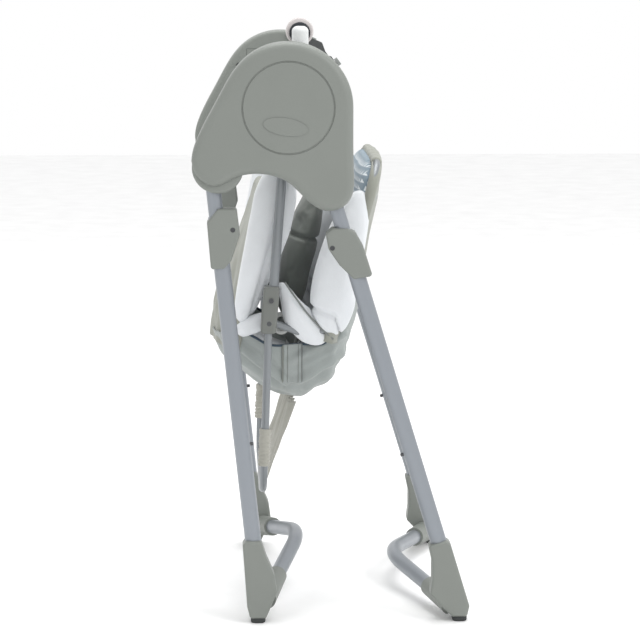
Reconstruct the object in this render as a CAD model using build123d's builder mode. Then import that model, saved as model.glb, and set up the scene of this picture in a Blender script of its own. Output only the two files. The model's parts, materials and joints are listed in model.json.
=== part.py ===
"""Folding A-frame baby swing, folded and standing on its four feet.

X runs across the folded legs, rear legs towards +X. Y runs across the swing, and the child's
left hand is at -Y. Z is up, with the floor at Z = 0. Every joint stands at its zero.
"""
import os
from collections import namedtuple
from math import cos, radians, sin, tan

from build123d import *

SIDES = {"left": -1, "right": 1}

# Legs: both lean towards -X at the top
Leg = namedtuple("Leg", "foot_x lean stub_top collar_top tube_top joint_z pin_side")
FRONT = Leg(foot_x=-116.0, lean=6.1, stub_top=736, collar_top=684, tube_top=670, joint_z=337,
            pin_side=1)
REAR = Leg(foot_x=214.5, lean=17.0, stub_top=770, collar_top=652, tube_top=638, joint_z=323,
           pin_side=-1)
LEG_Y = 275.0              # plane of each pair of legs, from the middle
STUB_D, STUB_BOTTOM = 24.0, 560.0
LEG_D, LEG_WALL = 27.0, 1.3
LEG_BOTTOM = 60.0
SPIGOT_D, SPIGOT_LENGTH, SWAGE = 24.2, 60.0, 6.0
PIN_D, PIN_BELOW_JOINT, PIN_REACH = 6.0, 41.0, 18.5
FIT = 0.1                  # radial room of a tube in its sleeve
RUN = 0.05                 # radial room of a turning fit

# Side housings
HUB = (-72.0, 846.0)       # swing axle
FOLD = (-185.0, 750.0)     # pivot of the front legs
DOME_R = 104.0
HOUSING_IN, HOUSING_SPLIT, HOUSING_OUT = 240.0, 262.0, 304.0
SHELL = 3.0
RIM_R = 13.0
DISC_R, GROOVE_W, GROOVE_DEEP = 72.0, 3.0, 1.6
BADGE_AT, BADGE_W, BADGE_H = (-76.5, 816.0), 72.0, 28.0
KNUCKLE_R, KNUCKLE_HALF = 41.5, 19.0
KNUCKLE_PIN_D = 12.0
SCREW_SPOTS = [(-148.0, 888.0), (6.0, 842.0), (-98.0, 763.0)]
SCREW_D, SCREW_HEAD_D = 4.0, 8.0

# Swing
AXLE_D, BUSH_D = 16.0, 22.0
ARM_Y, ARM_D = 216.0, 16.0
ARM_END = (-98.0, 502.0)
SEAT_PIVOT = (-102.5, 488.0)
JOINT_SCREW = (-98.8, 526.0)
JOINT_IN, JOINT_OUT = 204.5, 229.5
LOWER_TOP, LOWER_END = (-103.5, 474.0), (-113.0, 199.0)
LOWER_D = 13.0
HOOP_D, EYE_HALF = 12.0, 5.2
HEAD_Y, FOOT_Y = 197.0, 183.0
HEAD_PATH = [SEAT_PIVOT, (-5.0, 452.0), (78.0, 745.0)]
FOOT_PATH = [SEAT_PIVOT, (-153.0, 468.0), (-112.0, 690.0)]
PIVOT_PIN_D = 8.0
LEVER_R, MAGNET_R = 50.0, 11.0

# Base rails: exit from the boot, rise direction in the XZ plane, slope of the straight ends
Rail = namedtuple("Rail", "exit_x exit_z rise slope")
FRONT_RAIL = Rail(exit_x=-89.7, exit_z=53.6, rise=38.0, slope=17.5)
REAR_RAIL = Rail(exit_x=168.4, exit_z=32.1, rise=164.0, slope=19.0)
RAIL_D, RAIL_EXIT_Y, RAIL_END_Y, RAIL_ARC = 25.0, 180.0, 270.0, 65.0

# Toy arm and controls
POST_AT, POST_D, POST_BOTTOM, POST_TOP = (-51.0, -224.0), 27.0, 884.0, 973.0
CAP_D, CAP_Z, CAP_FROM, CAP_TO = 40.0, 966.0, 17.5, 58.0
CELL_D, CELL_L = 26.0, 50.0
BATTERY_AT, BATTERY_W, BATTERY_H, BATTERY_DEEP = (-83.0, 891.5), 106.0, 57.0, 31.0


def save(part, name):
    """Label one finished piece and write it to its own file."""
    part.label = name
    export_step(part, f"parts/{name}.step")


def side_plane(y):
    """The XZ plane at Y = y, which faces -Y."""
    return Plane.XZ.offset(-y)


def leg_x(leg, z):
    """Where the leg's axis is at height z."""
    return leg.foot_x - z * tan(radians(leg.lean))


def leg_plane(leg, side, z):
    """The plane square to the leg's axis at height z, facing up the leg."""
    up = (-sin(radians(leg.lean)), 0, cos(radians(leg.lean)))
    return Plane(origin=(leg_x(leg, z), side * LEG_Y, z), x_dir=(0, 1, 0), z_dir=up)


def along(leg, z0, z1):
    """Length along the leg between two heights."""
    return (z1 - z0) / cos(radians(leg.lean))


def pin_plane(leg, side):
    """The plane through the leg's axis that faces the way the snap pin points."""
    z = leg.joint_z - PIN_BELOW_JOINT
    out = (leg.pin_side * cos(radians(leg.lean)), 0, leg.pin_side * sin(radians(leg.lean)))
    return Plane(origin=(leg_x(leg, z), side * LEG_Y, z), x_dir=(0, 1, 0), z_dir=out)


def cylinder_y(at, y0, y1, radius):
    """A plain round bar along Y from y0 to y1."""
    with BuildPart() as bar:
        with BuildSketch(side_plane(y0)):
            with Locations(at):
                Circle(radius)
        extrude(amount=y0 - y1)
    return bar.part


def ring_tube(plane, length, outer_d, inner_d):
    """A straight tube that stands on a plane."""
    with BuildPart() as pipe:
        with BuildSketch(plane):
            Circle(outer_d / 2)
            Circle(inner_d / 2, mode=Mode.SUBTRACT)
        extrude(amount=length)
    return pipe.part


# ---------------------------------------------------------------- legs
def stub_tube(leg, side):
    length = along(leg, STUB_BOTTOM, leg.stub_top)
    return ring_tube(leg_plane(leg, side, STUB_BOTTOM), length, STUB_D, STUB_D - 3)


def leg_tube(leg, side):
    """Main tube, swaged down to a spigot below its joint with the lower tube."""
    bore = LEG_D - 2 * LEG_WALL
    with BuildPart() as tube:
        with BuildSketch(leg_plane(leg, side, leg.joint_z)):
            Circle(LEG_D / 2)
        extrude(amount=along(leg, leg.joint_z, leg.tube_top))
        with BuildSketch(leg_plane(leg, side, leg.joint_z)):
            Circle(SPIGOT_D / 2)
        extrude(amount=-SPIGOT_LENGTH)
        with BuildSketch(leg_plane(leg, side, leg.joint_z + SWAGE)):
            Circle(bore / 2)
        extrude(amount=along(leg, leg.joint_z + SWAGE, leg.tube_top), mode=Mode.SUBTRACT)
        with BuildSketch(leg_plane(leg, side, leg.joint_z + SWAGE)):
            Circle(SPIGOT_D / 2 - LEG_WALL)
        extrude(amount=-SPIGOT_LENGTH - 2 * SWAGE, mode=Mode.SUBTRACT)
        with BuildSketch(pin_plane(leg, side)):
            Circle(PIN_D / 2 + FIT)
        extrude(amount=LEG_D, mode=Mode.SUBTRACT)
    return tube.part


def lower_tube(leg, side):
    with BuildPart() as tube:
        with BuildSketch(leg_plane(leg, side, LEG_BOTTOM)):
            Circle(LEG_D / 2)
            Circle(LEG_D / 2 - LEG_WALL, mode=Mode.SUBTRACT)
        extrude(amount=along(leg, LEG_BOTTOM, leg.joint_z))
        with BuildSketch(pin_plane(leg, side)):
            Circle(PIN_D / 2 + FIT)
        extrude(amount=LEG_D, mode=Mode.SUBTRACT)
    return tube.part


def snap_pin(leg, side):
    """Domed pin on a short leaf spring inside the spigot."""
    with BuildPart() as pin:
        with BuildSketch(pin_plane(leg, side).offset(7)):
            Rectangle(8, 30)
        extrude(amount=1)
        with BuildSketch(pin_plane(leg, side).offset(8)):
            Circle(PIN_D / 2)
        extrude(amount=PIN_REACH - 8)
        tip = pin.edges().group_by(Axis.X)[-1 if leg.pin_side > 0 else 0]
        fillet(tip, 2)
    return pin.part


# Outlines in the XZ plane, as offsets from the leg's axis at the middle of the collar
FRONT_COLLAR = [(-19, 26), (-1, 48), (29, 48), (34, 6), (20, -36), (9, -49), (-13, -50)]
REAR_COLLAR = [(-48, 33), (-37, 42), (-12, 41), (0, 35), (12, 14), (28, -36), (-3, -41),
               (-26, -18), (-43, 7)]


def collar(leg, side):
    """Moulded sleeve over the joint of stub and main tube, flared towards the other legs."""
    outline = FRONT_COLLAR if leg is FRONT else REAR_COLLAR
    middle = leg.collar_top - (48 if leg is FRONT else 42)
    origin = leg_x(leg, middle) + (0 if leg is FRONT else 8)
    with BuildPart() as sleeve:
        with BuildSketch(side_plane(side * LEG_Y)) as face:
            with BuildLine():
                Polyline(*[(origin + x, middle + z) for x, z in outline], close=True)
            make_face()
            fillet(face.vertices(), 5)
        extrude(amount=17.5, both=True)
        for end in (0, -1):
            fillet(sleeve.faces().sort_by(Axis.Y)[end].edges(), 4)
        with BuildSketch(leg_plane(leg, side, middle - 70)):
            Circle(LEG_D / 2 + FIT)
        extrude(amount=along(leg, middle - 70, leg.tube_top + 0.5), mode=Mode.SUBTRACT)
        with BuildSketch(leg_plane(leg, side, middle)):
            Circle(STUB_D / 2 + FIT)
        extrude(amount=100, mode=Mode.SUBTRACT)
        with BuildSketch(side_plane(side * (LEG_Y + 20))):
            with Locations(collar_screw_at(leg)):
                Circle(SCREW_HEAD_D / 2 + FIT)
        extrude(amount=side * 7, mode=Mode.SUBTRACT)
        with BuildSketch(side_plane(side * (LEG_Y + 20))):
            with Locations(collar_screw_at(leg)):
                Circle(SCREW_D / 2 + FIT)
        extrude(amount=side * 32, mode=Mode.SUBTRACT)
    return sleeve.part


def collar_screw_at(leg):
    return (-161.5, 650.0) if leg is FRONT else (-1.5, 620.0)


def screw(at, y_head, y_tip):
    """Pan-head screw along Y, its head's outer face at y_head."""
    way = 1 if y_tip > y_head else -1
    with BuildPart() as body:
        with BuildSketch(side_plane(y_head)):
            with Locations(at):
                Circle(SCREW_HEAD_D / 2)
        extrude(amount=-way * 2.4)
        with BuildSketch(side_plane(y_head)):
            with Locations(at):
                Circle(SCREW_D / 2)
        extrude(amount=y_head - y_tip)
        with BuildSketch(side_plane(y_head)):
            with Locations(at):
                Rectangle(5, 1)
                Rectangle(1, 5)
        extrude(amount=-way * 1.2, mode=Mode.SUBTRACT)
    return body.part


def collar_screw(leg, side):
    return screw(collar_screw_at(leg), side * (LEG_Y + 15.8), side * (LEG_Y - 10))


# ---------------------------------------------------------------- base
def rail_plane(rail):
    """The plane the bowed rail lies in: local x along Y, local y up the bow."""
    rise = (cos(radians(rail.rise)), 0, sin(radians(rail.rise)))
    return Plane(origin=(rail.exit_x, 0, rail.exit_z), x_dir=(0, 1, 0),
                 z_dir=(rise[2], 0, -rise[0]))


def rail_offset(rail, y):
    """Offset up the bow on the straight ends, zero where the rail leaves the boot."""
    return (RAIL_EXIT_Y - abs(y)) * tan(radians(rail.slope))


def rail_point(rail, y):
    return rail_plane(rail).from_local_coords((y, rail_offset(rail, y), 0))


def base_rail(rail):
    """Tube from boot to boot: two straight ends and a wide arc across the middle."""
    top = rail_offset(rail, RAIL_ARC)
    crown = top + RAIL_ARC * tan(radians(rail.slope / 2))
    with BuildPart() as tube:
        with BuildLine(rail_plane(rail)) as path:
            Line((-RAIL_END_Y, rail_offset(rail, RAIL_END_Y)), (-RAIL_ARC, top))
            ThreePointArc((-RAIL_ARC, top), (0, crown), (RAIL_ARC, top))
            Line((RAIL_ARC, top), (RAIL_END_Y, rail_offset(rail, RAIL_END_Y)))
        with BuildSketch(Plane(origin=path.line @ 0, z_dir=path.line % 0)):
            Circle(RAIL_D / 2)
            Circle(RAIL_D / 2 - 1.5, mode=Mode.SUBTRACT)
        sweep(path=path.line)
    return tube.part


FRONT_BOOT = [(-148, 131), (-143, 138), (-118, 138), (-109, 110), (-96, 80), (-92, 52), (-104, 22),
              (-110, 8), (-136, 8), (-141, 28)]
REAR_BOOT = [(157, 128), (163, 100), (163, 70), (160, 46), (182, 22), (197, 8), (221, 8),
             (225, 26), (193, 131), (187, 136)]
BOOT_HALF = 18.5
BOOT_NOSE_R, BOOT_ROOT_R = 16.5, 19.0


def boot(leg, rail, outline, side):
    """Moulded corner: a sleeve up the leg and a nose inboard round the rail."""
    with BuildPart() as corner:
        with BuildSketch(side_plane(side * LEG_Y)) as face:
            with BuildLine():
                Polyline(*outline, close=True)
            make_face()
            fillet(face.vertices(), 5)
        extrude(amount=BOOT_HALF, both=True)
        fillet(corner.faces().sort_by(Axis.Y)[-1].edges(), 4.5)
        fillet(corner.faces().sort_by(Axis.Y)[0].edges(), 4.5)
        with BuildSketch(nose_plane(rail, side, LEG_Y - 6)):
            Circle(BOOT_ROOT_R)
        with BuildSketch(nose_plane(rail, side, RAIL_EXIT_Y)):
            Circle(BOOT_NOSE_R)
        loft()
        with BuildSketch(nose_plane(rail, side, RAIL_EXIT_Y - 5)):
            Circle(RAIL_D / 2 + FIT)
        extrude(amount=(RAIL_END_Y - RAIL_EXIT_Y + 5.5) / cos(radians(rail.slope)),
                mode=Mode.SUBTRACT)
        with BuildSketch(leg_plane(leg, side, LEG_BOTTOM - 0.5)):
            Circle(LEG_D / 2 + FIT)
        extrude(amount=100, mode=Mode.SUBTRACT)
        with BuildSketch(Plane.XY):
            Rectangle(600, 700)
        extrude(amount=8, mode=Mode.SUBTRACT)
    return corner.part


def nose_plane(rail, side, y):
    """Plane square to the rail's straight end, facing outboard."""
    start, end = rail_point(rail, side * y), rail_point(rail, side * (y + 10))
    return Plane(origin=start, x_dir=(1, 0, 0.001), z_dir=end - start)


def foot_pad(x, side):
    """Rubber shoe under the boot, flat on the floor."""
    with BuildPart() as pad:
        with BuildSketch(Plane.XY.offset(8)):
            with Locations((x, side * LEG_Y)):
                RectangleRounded(24, 32, 8)
        extrude(amount=-8)
        fillet(pad.faces().sort_by(Axis.Z)[0].edges(), 3)
    return pad.part


# ---------------------------------------------------------------- housings
# Free edge of a side housing: front leg's lobe, arch and rear leg's lobe, counterclockwise
LOWER_EDGE = [(-187, 855), (-220, 790), (-226.5, 755), (-214, 731), (-188, 720), (-158, 733),
              (-119, 740), (-74, 727), (-38, 694), (-8, 680), (24, 694), (33, 745)]
DOME_END = 138.0


def housing_face(inset=0.0):
    """Outline of a side housing, or the same outline moved inwards."""
    with BuildSketch() as outline:
        with BuildLine():
            dome = CenterArc(HUB, DOME_R - inset, 0, DOME_END)
            edge = [dome @ 1] + [Vector(*point) for point in LOWER_EDGE] + [dome @ 0]
            moved = []
            for before, point, after in zip(edge, edge[1:], edge[2:]):
                way = (after - before).normalized()
                moved.append(point + Vector(-way.Y, way.X) * inset)
            Spline(dome @ 1, *moved, dome @ 0, tangents=[dome % 1, dome % 0])
        make_face()
    return outline.sketch


HOUSING_FACE, HOUSING_INSIDE = housing_face(), housing_face(SHELL)
HOUSING_STEP, HOUSING_FLOOR = housing_face(SHELL + 3), housing_face(SHELL + 7)


def outer_cover(side):
    """Outboard shell with a grooved round field, a blank oval boss and a soft rim."""
    with BuildPart() as cover:
        with BuildSketch(side_plane(side * HOUSING_SPLIT)):
            add(HOUSING_FACE)
        extrude(amount=-side * (HOUSING_OUT - HOUSING_SPLIT))
        outer = cover.faces().sort_by(Axis.Y)[-1 if side > 0 else 0]
        fillet(outer.edges(), RIM_R)
        with BuildSketch(side_plane(side * HOUSING_SPLIT)):
            add(HOUSING_INSIDE)
        extrude(amount=-side * (HOUSING_OUT - SHELL - RIM_R - HOUSING_SPLIT), mode=Mode.SUBTRACT)
        with BuildSketch(side_plane(side * HOUSING_SPLIT)):
            add(HOUSING_STEP)
        extrude(amount=-side * (HOUSING_OUT - SHELL - 4 - HOUSING_SPLIT), mode=Mode.SUBTRACT)
        with BuildSketch(side_plane(side * HOUSING_SPLIT)):
            add(HOUSING_FLOOR)
        extrude(amount=-side * (HOUSING_OUT - SHELL - HOUSING_SPLIT), mode=Mode.SUBTRACT)
        with BuildSketch(side_plane(side * HOUSING_OUT)):
            with Locations(HUB):
                Circle(DISC_R + GROOVE_W)
                Circle(DISC_R, mode=Mode.SUBTRACT)
        extrude(amount=side * GROOVE_DEEP, mode=Mode.SUBTRACT)
        with BuildSketch(side_plane(side * (HOUSING_OUT - 1))):
            with Locations(Location(BADGE_AT, 0)):
                Ellipse(BADGE_W / 2, BADGE_H / 2, rotation=-9)
        extrude(amount=-side * 2.2)
        with BuildSketch(side_plane(side * (HOUSING_OUT - 1))):
            with Locations(HUB):
                Circle(AXLE_D / 2 + 4)
                Circle(AXLE_D / 2 + RUN, mode=Mode.SUBTRACT)
            with Locations(FOLD):
                Circle(KNUCKLE_PIN_D / 2 + 3)
                Circle(KNUCKLE_PIN_D / 2, mode=Mode.SUBTRACT)
        extrude(amount=side * 7.5)
        with BuildSketch(side_plane(side * (HOUSING_OUT - 1))):
            with Locations(*SCREW_SPOTS):
                Circle(5)
        extrude(amount=side * (HOUSING_OUT - 1 - HOUSING_SPLIT))
        with BuildSketch(side_plane(side * HOUSING_SPLIT)):
            with Locations(*SCREW_SPOTS):
                Circle(SCREW_D / 2)
        extrude(amount=-side * 16, mode=Mode.SUBTRACT)
        with BuildSketch(side_plane(side * HOUSING_SPLIT)):
            with Locations(FOLD):
                Circle(KNUCKLE_R + 1.2)
                Circle(KNUCKLE_PIN_D / 2 + 3, mode=Mode.SUBTRACT)
        extrude(amount=-side * (LEG_Y + KNUCKLE_HALF + 0.6 - HOUSING_SPLIT), mode=Mode.SUBTRACT)
        with BuildSketch(side_plane(side * (LEG_Y + KNUCKLE_HALF + 0.6))):
            with Locations(FOLD):
                Circle(KNUCKLE_PIN_D / 2 + 4)
        extrude(amount=side * 20, mode=Mode.SUBTRACT)
        with BuildSketch(leg_plane(REAR, side, 640)):
            Circle(STUB_D / 2 + FIT)
        extrude(amount=along(REAR, 640, REAR.stub_top + 1), mode=Mode.SUBTRACT)
    return cover.part


def inner_cover(side):
    """Inboard shell with the axle's bearing boss and saddles for the rear stub tube."""
    with BuildPart() as cover:
        with BuildSketch(side_plane(side * HOUSING_SPLIT)):
            add(HOUSING_FACE)
        extrude(amount=side * (HOUSING_SPLIT - HOUSING_IN))
        inboard = cover.faces().sort_by(Axis.Y)[0 if side > 0 else -1]
        fillet(inboard.edges(), 6)
        with BuildSketch(side_plane(side * HOUSING_SPLIT)):
            add(HOUSING_INSIDE)
        extrude(amount=side * (HOUSING_SPLIT - HOUSING_IN - SHELL), mode=Mode.SUBTRACT)
        with BuildSketch(side_plane(side * HOUSING_SPLIT)):
            with Locations(HUB):
                Circle(BUSH_D / 2 + 4)
            with Locations(*SCREW_SPOTS):
                Circle(6)
        extrude(amount=side * (HOUSING_SPLIT - HOUSING_IN - 1))
        with BuildSketch(side_plane(side * (LEG_Y - STUB_D / 2 - 0.2))):
            for height in (712, 746):
                with Locations((leg_x(REAR, height), height)):
                    Rectangle(30, 5, rotation=-REAR.lean)
        extrude(amount=side * (LEG_Y - STUB_D / 2 - 0.2 - HOUSING_IN - 1))
        with BuildSketch(side_plane(side * HOUSING_SPLIT)):
            with Locations(HUB):
                Circle(BUSH_D / 2)
            with Locations(*SCREW_SPOTS):
                Circle(SCREW_D / 2 + FIT)
        extrude(amount=side * 40, mode=Mode.SUBTRACT)
        with BuildSketch(side_plane(side * (LEG_Y - KNUCKLE_HALF - 0.6))):
            with Locations(FOLD):
                Circle(KNUCKLE_R + 1.2)
        extrude(amount=-side * 20, mode=Mode.SUBTRACT)
        with BuildSketch(side_plane(side * (LEG_Y - KNUCKLE_HALF - 0.6))):
            with Locations(FOLD):
                Circle(KNUCKLE_PIN_D / 2 + 3)
        extrude(amount=side * (LEG_Y - KNUCKLE_HALF - 0.6 - HOUSING_IN - 1))
        with BuildSketch(side_plane(side * HOUSING_SPLIT)):
            with Locations(FOLD):
                Circle(KNUCKLE_PIN_D / 2)
        extrude(amount=side * (HOUSING_SPLIT - HOUSING_IN - SHELL), mode=Mode.SUBTRACT)
        with BuildSketch(leg_plane(REAR, side, 640)):
            Circle(STUB_D / 2 + FIT)
        extrude(amount=along(REAR, 640, REAR.stub_top + 1), mode=Mode.SUBTRACT)
    return cover.part


def knuckle(side):
    """Round head that turns in the housing, with the socket of the front stub tube."""
    with BuildPart() as head:
        with BuildSketch(side_plane(side * LEG_Y)):
            with Locations(FOLD):
                Circle(KNUCKLE_R)
        extrude(amount=KNUCKLE_HALF, both=True)
        for end in (0, -1):
            fillet(head.faces().sort_by(Axis.Y)[end].edges(), 5)
        with BuildSketch(leg_plane(FRONT, side, 706)):
            Rectangle(120, 120)
        extrude(amount=-30, mode=Mode.SUBTRACT)
        with BuildSketch(leg_plane(FRONT, side, 700)):
            Circle(STUB_D / 2 + FIT)
        extrude(amount=along(FRONT, 700, FRONT.stub_top + 0.5), mode=Mode.SUBTRACT)
        with BuildSketch(side_plane(side * LEG_Y)):
            with Locations(FOLD):
                Circle(KNUCKLE_PIN_D / 2 + RUN)
        extrude(amount=30, both=True, mode=Mode.SUBTRACT)
    return head.part


def knuckle_pin(side):
    return cylinder_y(FOLD, side * (HOUSING_IN + SHELL), side * (HOUSING_OUT - SHELL),
                      KNUCKLE_PIN_D / 2)


# ---------------------------------------------------------------- controls and drive
POD_ROOT = [(36, 880), (10, 869), (-8, 905), (-30, 923), (-58, 932)]
POD_OUTLINE = POD_ROOT + [(-52, 951), (2, 928), (11, 904), (19, 903)]
POD_RECESS = POD_ROOT + [(-52, 990), (90, 990), (90, 880)]
POD_IN = 229.0
FACET = Plane(origin=(-25, 0, 939.5), x_dir=(0, 1, 0), z_dir=(23, 0, 54))
DIAL_FACET = Plane(origin=(27.5, 0, 891.5), x_dir=(0, 1, 0), z_dir=(23, 0, 17))
BUTTON_Y, BUTTON_GAP, BUTTON_D, DIAL_D = 245.0, 24.0, 12.0, 15.0
DOOR = [(-133, 867), (-33, 867), (-33, 917), (-133, 917)]


def control_pod():
    """Faceted control housing on the rim of the right-hand inner cover."""
    with BuildPart() as pod:
        with BuildSketch(side_plane(HOUSING_SPLIT)):
            with BuildLine():
                Polyline(*POD_OUTLINE, close=True)
            make_face()
        extrude(amount=HOUSING_SPLIT - POD_IN)
        with BuildSketch(side_plane(HOUSING_SPLIT)) as hollow:
            with BuildLine():
                Polyline(*POD_OUTLINE, close=True)
            make_face()
            offset(amount=-2.5, mode=Mode.REPLACE)
        extrude(amount=HOUSING_SPLIT - POD_IN - 2.5, mode=Mode.SUBTRACT)
        with BuildSketch(FACET.offset(1)):
            with Locations(*button_spots()):
                Circle(BUTTON_D / 2 + 0.3)
        extrude(amount=-6, mode=Mode.SUBTRACT)
        with BuildSketch(DIAL_FACET.offset(1)):
            with Locations((BUTTON_Y, 0)):
                Circle(3.1)
        extrude(amount=-6, mode=Mode.SUBTRACT)
    return pod.part


def button_spots():
    return [(BUTTON_Y, -BUTTON_GAP / 2), (BUTTON_Y, BUTTON_GAP / 2)]


def button(spot):
    """Round key with a flange under the facet."""
    with BuildPart() as key:
        with BuildSketch(FACET.offset(-4.4)):
            with Locations(spot):
                Circle(BUTTON_D / 2)
        extrude(amount=7)
        fillet(key.edges().filter_by(GeomType.CIRCLE).sort_by(Axis.Z)[-1], 1)
    return key.part


def dial():
    """Speed knob with finger flats and a stub shaft."""
    with BuildPart() as knob:
        with BuildSketch(DIAL_FACET.offset(0.5)):
            with Locations((BUTTON_Y, 0)):
                Circle(DIAL_D / 2)
        extrude(amount=6)
        with BuildSketch(DIAL_FACET.offset(3)):
            for turn in (-1, 1):
                with Locations((BUTTON_Y + turn * DIAL_D / 2, 0)):
                    Rectangle(DIAL_D / 2, DIAL_D)
        extrude(amount=8, mode=Mode.SUBTRACT)
        with BuildSketch(DIAL_FACET.offset(-5)):
            with Locations((BUTTON_Y, 0)):
                Circle(3)
        extrude(amount=5.6)
    return knob.part


def right_inner_cover():
    """The inner cover on the control side, cut for the pod and the battery door."""
    plain = inner_cover(1)
    with BuildPart() as cover:
        add(plain)
        with BuildSketch(side_plane(HOUSING_SPLIT + 1)):
            with BuildLine():
                Polyline(*POD_RECESS, close=True)
            make_face()
            offset(amount=0.2, kind=Kind.INTERSECTION, mode=Mode.REPLACE)
        extrude(amount=60, mode=Mode.SUBTRACT)
        with BuildSketch(side_plane(HOUSING_IN + SHELL + 1)):
            with BuildLine():
                Polyline(*DOOR, close=True)
            make_face()
            offset(amount=0.5, kind=Kind.INTERSECTION, mode=Mode.REPLACE)
        extrude(amount=10, mode=Mode.SUBTRACT)
    return cover.part


def left_inner_cover():
    """The inner cover on the toy arm's side, with the socket that the post stands in."""
    plain = inner_cover(-1)
    x, y = POST_AT
    with BuildPart() as cover:
        add(plain)
        with BuildSketch(Plane.XY.offset(POST_BOTTOM - 4)):
            with Locations((x, y - 1)):
                RectangleRounded(POST_D + 7, POST_D + 7, 8)
        extrude(amount=44)
        with BuildSketch(Plane.XY.offset(POST_BOTTOM)):
            with Locations(POST_AT):
                Circle(POST_D / 2 + RUN)
        extrude(amount=60, mode=Mode.SUBTRACT)
    return cover.part


def battery_door():
    with BuildPart() as door:
        with BuildSketch(side_plane(HOUSING_IN + 2.4)):
            with BuildLine():
                Polyline(*DOOR, close=True)
            make_face()
        extrude(amount=2.4)
        with BuildSketch(side_plane(HOUSING_IN)):
            with Locations((-83, 874)):
                SlotOverall(24, 4)
        extrude(amount=1.2)
    return door.part


def battery_box():
    x, z = BATTERY_AT
    with BuildPart() as box:
        with BuildSketch(side_plane(HOUSING_IN + 4 + BATTERY_DEEP)):
            with Locations(BATTERY_AT):
                Rectangle(BATTERY_W, BATTERY_H)
        extrude(amount=BATTERY_DEEP)
        with BuildSketch(side_plane(HOUSING_IN + 2 + BATTERY_DEEP)):
            with Locations(BATTERY_AT):
                Rectangle(BATTERY_W - 3, BATTERY_H - 3)
        extrude(amount=BATTERY_DEEP, mode=Mode.SUBTRACT)
    return box.part


def battery_cells():
    """Four cells in two rows, each with its end nub."""
    x, z = BATTERY_AT
    with BuildPart() as cells:
        for column in (-1, 1):
            start = x + column * (CELL_L / 2 + 0.7) - CELL_L / 2
            with BuildSketch(Plane.YZ.offset(start)):
                with GridLocations(CELL_D + 1, CELL_D + 1, 1, 2):
                    with Locations((HOUSING_IN + 5 + CELL_D / 2, z)):
                        Circle(CELL_D / 2)
            extrude(amount=CELL_L - 1.5)
            with BuildSketch(Plane.YZ.offset(start + CELL_L - 1.5)):
                with GridLocations(CELL_D + 1, CELL_D + 1, 1, 2):
                    with Locations((HOUSING_IN + 5 + CELL_D / 2, z)):
                        Circle(4)
            extrude(amount=1.5)
    return cells.part


def circuit_board():
    """Board behind the battery box, with its chips."""
    with BuildPart() as board:
        with BuildSketch(side_plane(282)):
            with Locations((-83, 892)):
                Rectangle(84, 44)
        extrude(amount=1.6)
        with BuildSketch(side_plane(282)):
            with Locations((-100, 898), (-66, 884)):
                Rectangle(14, 10)
        extrude(amount=-2)
    return board.part


def lever_end():
    return (HUB[0], HUB[1] - LEVER_R)


def magnet_lever():
    """Flat lever on the right-hand axle, carrying the drive magnet."""
    with BuildPart() as lever:
        with BuildSketch(side_plane(270)):
            with Locations(HUB):
                Circle(AXLE_D / 2 + 6)
            with Locations((HUB[0], HUB[1] - LEVER_R / 2)):
                Rectangle(16, LEVER_R)
            with Locations(lever_end()):
                Circle(MAGNET_R + 3)
            with Locations(HUB):
                Circle(AXLE_D / 2 + 0.02, mode=Mode.SUBTRACT)
        extrude(amount=6)
        with BuildSketch(side_plane(270)):
            with Locations(lever_end()):
                Circle(MAGNET_R + 3)
                Circle(MAGNET_R, mode=Mode.SUBTRACT)
        extrude(amount=-4)
    return lever.part


def drive_coil():
    with BuildPart() as coil:
        with BuildSketch(side_plane(278)):
            with Locations(lever_end()):
                Circle(19)
                Circle(8, mode=Mode.SUBTRACT)
        extrude(amount=-12)
    return coil.part


def coil_bracket():
    """Plate and core that carry the coil off the outer cover."""
    with BuildPart() as bracket:
        with BuildSketch(side_plane(290)):
            with Locations(lever_end()):
                Rectangle(64, 26)
        extrude(amount=-2)
        with BuildSketch(side_plane(290)):
            with Locations(lever_end()):
                Circle(7.8)
        extrude(amount=11)
        with BuildSketch(side_plane(292)):
            with Locations(lever_end()):
                with GridLocations(52, 1, 2, 1):
                    Circle(4)
        extrude(amount=-9)
    return bracket.part


def speaker():
    with BuildPart() as cone:
        with BuildSketch(side_plane(HOUSING_IN + SHELL)):
            with Locations((-142, 806)):
                Circle(20)
        extrude(amount=-4)
        with BuildSketch(side_plane(HOUSING_IN + SHELL + 4)):
            with Locations((-142, 806)):
                Circle(16)
        extrude(amount=-9, taper=25)
    return cone.part


def dc_inlet():
    """Barrel jack in the rear wall of the right-hand outer cover."""
    with BuildPart() as jack:
        with BuildSketch(Plane.YZ.offset(37)):
            with Locations((280, 780)):
                Circle(7)
        extrude(amount=-1.5)
        with BuildSketch(Plane.YZ.offset(35.5)):
            with Locations((280, 780)):
                Circle(4.5)
        extrude(amount=-18)
        with BuildSketch(Plane.YZ.offset(37)):
            with Locations((280, 780)):
                Circle(2.8)
                Circle(1, mode=Mode.SUBTRACT)
        extrude(amount=-12, mode=Mode.SUBTRACT)
    return jack.part


def right_outer_cover():
    plain = outer_cover(1)
    with BuildPart() as cover:
        add(plain)
        with BuildSketch(Plane.YZ.offset(40)):
            with Locations((280, 780)):
                Circle(4.6)
        extrude(amount=-18, mode=Mode.SUBTRACT)
        with BuildSketch(Plane.YZ.offset(45)):
            with Locations((280, 780)):
                Circle(7.2)
        extrude(amount=-9.5, mode=Mode.SUBTRACT)
    return cover.part


# ---------------------------------------------------------------- toy arm
def toy_post():
    """Upright tube with a domed top."""
    with BuildPart() as post:
        with BuildSketch(Plane.XY.offset(POST_BOTTOM)):
            with Locations(POST_AT):
                Circle(POST_D / 2)
        extrude(amount=POST_TOP - POST_BOTTOM)
        fillet(post.faces().sort_by(Axis.Z)[-1].edges(), 9)
    return post.part


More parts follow.
